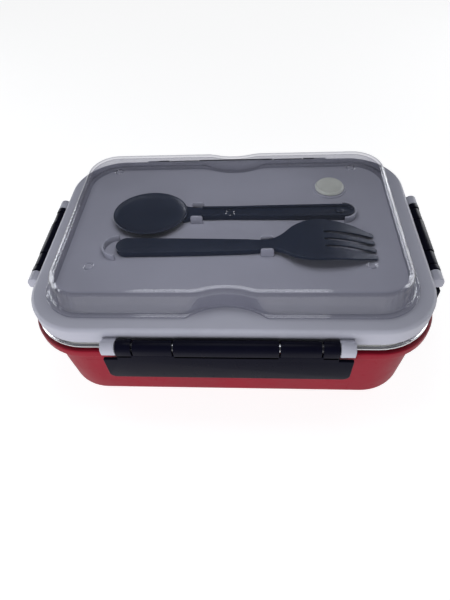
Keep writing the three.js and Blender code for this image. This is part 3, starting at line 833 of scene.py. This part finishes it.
def fork_outline():
    """Plan of the fork about its own axis, with round-ended slots between four blunt tines."""
    left, tip, step = FORK_LOW.x + FORK_END, FORK_HIGH.x, 1.6
    along = [left + step * i for i in range(int((tip - 3 - left) / step) + 1)]
    upper = arc(left, 0, FORK_END, 180, 96, 12) + [(x, value_at(FORK_HALF, x)) for x in along]
    tines = []
    for i, centre in enumerate(TINES):
        if i:
            slot = TINE_SLOTS[i - 1]
            tines += [(SLOT_START, slot + SLOT_HALF)]
            tines += arc(SLOT_START - 2.4, slot, 0.8, 70, 290, 4)
            tines += [(SLOT_START, slot - SLOT_HALF)]
        tines += [(tip - 1.4, centre + 1.7), (tip - 0.4, centre + 0.9), (tip, centre)]
        tines += [(tip - 0.4, centre - 0.9), (tip - 1.4, centre - 1.7)]
    lower = [(x, -y) for x, y in reversed(upper[1:])]
    return clean(upper + tines + lower)


def build_fork():
    """Fork with an arched head and rounded edges, bent from a flat plate."""
    axis_y = (FORK_LOW.y + FORK_HIGH.y) / 2
    plate, crown, head_start, head_half = 4.0, 0.12, 30, 17
    bm = bmesh.new()
    add_prism(bm, fork_outline(), 0, plate, bevel=0.4)
    for x in range(-70, 88, 3):
        everything = bm.verts[:] + bm.edges[:] + bm.faces[:]
        bmesh.ops.bisect_plane(bm, geom=everything, plane_co=(x * MM, 0, 0), plane_no=(1, 0, 0))
    for vert in bm.verts:
        x, y = vert.co.x / MM, vert.co.y / MM
        below = 1 - vert.co.z / (plate * MM)
        dip = crown * (1 - (y / head_half) ** 2) if x > head_start else 0
        top = value_at(FORK_TOP, x) - dip
        vert.co.z = (RIM_Z + top - below * value_at(FORK_DEPTH, x)) * MM
        vert.co.y += axis_y * MM
    bmesh.ops.remove_doubles(bm, verts=bm.verts, dist=0.05 * MM)
    return make_object("fork_moulding", bm, CUTLERY_DARK, 40)


def bowl_curve(radius, depth, rim, angles):
    """Half section of a bowl as [radius, z] points; angle 0 is its lowest point."""
    points = []
    for angle in angles:
        turn = math.radians(angle)
        points.append((max(0.0, radius * math.sin(turn)), rim - depth * math.cos(turn)))
    return points


def add_spoon_bowl(bm):
    """Deep oval bowl with a rolled lip."""
    rim = SPOON_HIGH.z
    half_x, half_y = 24.8, (SPOON_HIGH.y - SPOON_LOW.y) / 2
    section = bowl_curve(half_y, 5.0, rim, range(0, 86, 6))
    section += arc(half_y - 0.5, rim - 0.5, 0.5, 0, 170, 6)
    section += bowl_curve(half_y - 1.3, 3.4, rim - 0.4, range(84, -1, -6))
    x, y = SPOON_LOW.x + half_x, (SPOON_LOW.y + SPOON_HIGH.y) / 2
    bowl = bmesh.new()
    add_revolved(bowl, section, x, y, steps=72, stretch=half_x / half_y)
    finish_part(bm, bowl)


def add_spoon_handle(bm):
    """Flat handle with a raised border and a low boss near its free end."""
    top, border_top, sunk = RIM_Z + 3.1, RIM_Z + 4.5, RIM_Z + 2.6
    end, end_wall, inner_share = 6, 0.9, 0.72
    half = arc(SPOON_HIGH.x - end, 0, end, 0, 84, 10)
    half += [(30, 5.4), (0, 4.8), (-20, 4.9), (-26, 5.6), (-32.5, 7.6)]
    outline = half + [(x, -y) for x, y in reversed(half[1:])]
    move = Matrix.Translation((0, SPOON_Y, 0))
    add_prism(bm, outline, RIM_Z + GAP, top, move, bevel=0.6)
    side = half[:-2]
    inner = [(x - (end_wall if x > 60 else 0), y * inner_share) for x, y in side]
    border = [(x, -y) for x, y in reversed(side[1:])] + side
    border += list(reversed(inner)) + [(x, -y) for x, y in inner[1:]]
    add_prism(bm, clean(border), sunk, border_top, move, bevel=0.35, segments=2)
    boss = [(0, sunk), (2.6, sunk), (2.6, RIM_Z + 4.0), (2.2, RIM_Z + 4.3), (0, RIM_Z + 4.3)]
    add_revolved(bm, boss, 70.5, SPOON_Y, steps=32)


def build_spoon():
    """Spoon made of its bowl and its handle."""
    bm = bmesh.new()
    add_spoon_bowl(bm)
    add_spoon_handle(bm)
    return make_object("spoon_moulding", bm, CUTLERY_DARK, 40)


# ---- latches -------------------------------------------------------------------------------


LATCH_GAP = 0.4
BARREL_CUTS = (-0.845, -0.475, 0.475, 0.845)


def latch_outline(inner):
    """Face of the latch: upright sides, ears below the lugs and rounded lower corners."""
    end, ear_out = inner - LATCH_GAP, inner + LUG_WIDTH
    ear_top, bottom = LUG_LOW - 3.2, LATCH_LOW.z
    half = [(end, HINGE_Z - PIN_RADIUS - LATCH_GAP), (end, ear_top)]
    half += arc(ear_out - 0.5, ear_top - 0.5, 0.5, 90, 0, 3)
    half += arc(ear_out - 4, bottom + 4, 4, 0, -90, 10)
    return half + [(-x, z) for x, z in reversed(half)]


def build_latch(side):
    """Plate, barrel in five lengths and the rib below the edge of the tub's flange."""
    place, inner = SIDES[side]
    face, thickness = -LATCH_LOW.y - LID_HALF[1], 2.0
    knuckle = LATCH_HIGH.z - HINGE_Z
    end = inner - LATCH_GAP
    bm = bmesh.new()
    add_prism(bm, latch_outline(inner), face - thickness, face, place @ UPRIGHT, bevel=0.4)
    cuts = [-end] + [share * inner for share in BARREL_CUTS] + [end]
    for i in range(5):
        start = cuts[i] + (LATCH_GAP if i > 0 else 0)
        stop = cuts[i + 1] - (LATCH_GAP if i < 4 else 0)
        radius = knuckle - 0.25 * (i % 2)
        shape = arc(-HINGE_OUT, HINGE_Z, radius, 180, -80, 28)
        shape += [(-face + 1.2, HINGE_Z - 4.6), (-face, HINGE_Z - 5)]
        move = place @ Matrix.Translation((start, 0, 0)) @ ALONG_X
        add_prism(bm, clean(shape), 0, stop - start, move, bevel=0.3)
    root, reach, inset = -face + 1, -2.5, 8
    rib = [(root, 53.7), (reach - 0.1, 52.7), (reach, 52.4)]
    rib += [(reach, 51.5), (reach - 0.2, 51.2), (root, 50.3)]
    move = place @ Matrix.Translation((inset - end, 0, 0)) @ ALONG_X
    add_prism(bm, rib, 0, 2 * (end - inset), move)
    return make_object(f"latch_{side}_moulding", bm, LATCH_BLACK)


def build_pin(side):
    """Hinge rod with chamfered ends."""
    place, inner = SIDES[side]
    end = inner + LUG_WIDTH - 1.3
    move = place @ Matrix.Translation((-end, 0, 0)) @ ALONG_X
    bm = bmesh.new()
    rod = arc(-HINGE_OUT, HINGE_Z, PIN_RADIUS, 0, 348.75, 31)
    add_prism(bm, rod, 0, 2 * end, move, bevel=0.3, segments=2)
    return make_object(f"pin_{side}_rod", bm, PIN_STEEL)


# ---- assembly ------------------------------------------------------------------------------

settle(build_tub(), "outer_tub", "tub")
settle(build_tray(), "inner_tray", "tray")
settle(build_lid(), "lid", "lid")
settle(build_gasket(), "lid_gasket", "lid")
settle(build_plug(), "vent_plug", "vent_plug")
settle(build_cover(), "clear_cover", "cover")
settle(build_fork(), "fork", "fork")
settle(build_spoon(), "spoon", "spoon")
for side in SIDES:
    settle(build_latch(side), f"latch_{side}", f"latch_{side}")
    settle(build_pin(side), f"latch_pin_{side}", "lid")


# ---- floor, light and camera ---------------------------------------------------------------


def build_floor():
    """Pale floor that the object stands on."""
    n = Nodes("pale_floor")
    n.link(
        n.ramp(n.noise(6, 3), [(0.3, (0.4, 0.4, 0.4)), (0.7, (0.42, 0.42, 0.42))]),
        n.shader.inputs["Base Color"],
    )
    n.shader.inputs["Roughness"].default_value = 0.9
    n.shader.inputs["Emission Color"].default_value = (1, 1, 1, 1)
    n.shader.inputs["Emission Strength"].default_value = 0.86
    size = 6.0
    mesh = bpy.data.meshes.new("floor")
    corners = [(-size, -size, 0), (size, -size, 0), (size, size, 0), (-size, size, 0)]
    mesh.from_pydata(corners, [], [(0, 1, 2, 3)])
    mesh.materials.append(n.material)
    floor = bpy.data.objects.new("floor", mesh)
    bpy.context.scene.collection.objects.link(floor)


def add_area(name, place, target, size, power):
    """Rectangular lamp of a cool white, aimed at target and hidden from the camera."""
    light = bpy.data.lights.new(name, "AREA")
    light.shape = "RECTANGLE"
    light.size, light.size_y = size
    light.energy = power
    light.color = (0.93, 0.95, 1.0)
    lamp = bpy.data.objects.new(name, light)
    lamp.location = place
    lamp.rotation_euler = (Vector(target) - Vector(place)).to_track_quat("-Z", "Y").to_euler()
    lamp.visible_camera = False
    bpy.context.scene.collection.objects.link(lamp)
    return lamp


def build_light():
    """Dim room, soft light from the front and above, and windows seen only as highlights."""
    world = bpy.data.worlds.new("studio")
    bpy.context.scene.world = world
    world.use_nodes = True
    background = world.node_tree.nodes["Background"]
    background.inputs["Color"].default_value = (0.88, 0.92, 1.0, 1)
    background.inputs["Strength"].default_value = 0.12
    front = add_area("front_soft", (-0.2, -0.85, 0.22), (0, 0, 0.05), (1.0, 0.42), 5.4)
    front.visible_glossy = False
    add_area("top_soft", (-0.01, -0.01, 0.28), (-0.01, 0, 0.08), (0.2, 0.13), 0.29)
    windows = (
        ("left_window", (-0.66, 0.16, 0.25), (0.7, 0.44), 7.4),
        ("right_window", (0.64, 0.24, 0.26), (0.8, 0.46), 8.5),
    )
    for name, place, size, power in windows:
        target = (math.copysign(0.11, place[0]), 0, 0.09)
        window = add_area(name, place, target, size, power)
        window.visible_diffuse = False


def build_camera():
    """Camera above the front edge, looking down into the box's middle."""
    pitch, yaw, roll = 0.8784, 0.11039, -0.08323
    forward = Vector((0, math.cos(pitch), -math.sin(pitch)))
    right = Vector((1, 0, 0))
    up = right.cross(forward)
    turn = Matrix.Rotation(yaw, 3, "Z")
    forward, right, up = turn @ forward, turn @ right, turn @ up
    cosine, sine = math.cos(roll), math.sin(roll)
    right, up = cosine * right + sine * up, cosine * up - sine * right
    data = bpy.data.cameras.new("camera")
    data.lens, data.sensor_width = 27.0, 36.0
    camera = bpy.data.objects.new("camera", data)
    place = Matrix.Translation(Vector((16.606, -220.584, 273.47)) * MM)
    camera.matrix_world = place @ Matrix((right, up, -forward)).transposed().to_4x4()
    bpy.context.scene.collection.objects.link(camera)
    bpy.context.scene.camera = camera


build_floor()
build_light()
build_camera()
bpy.context.scene.view_settings.view_transform = "Standard"
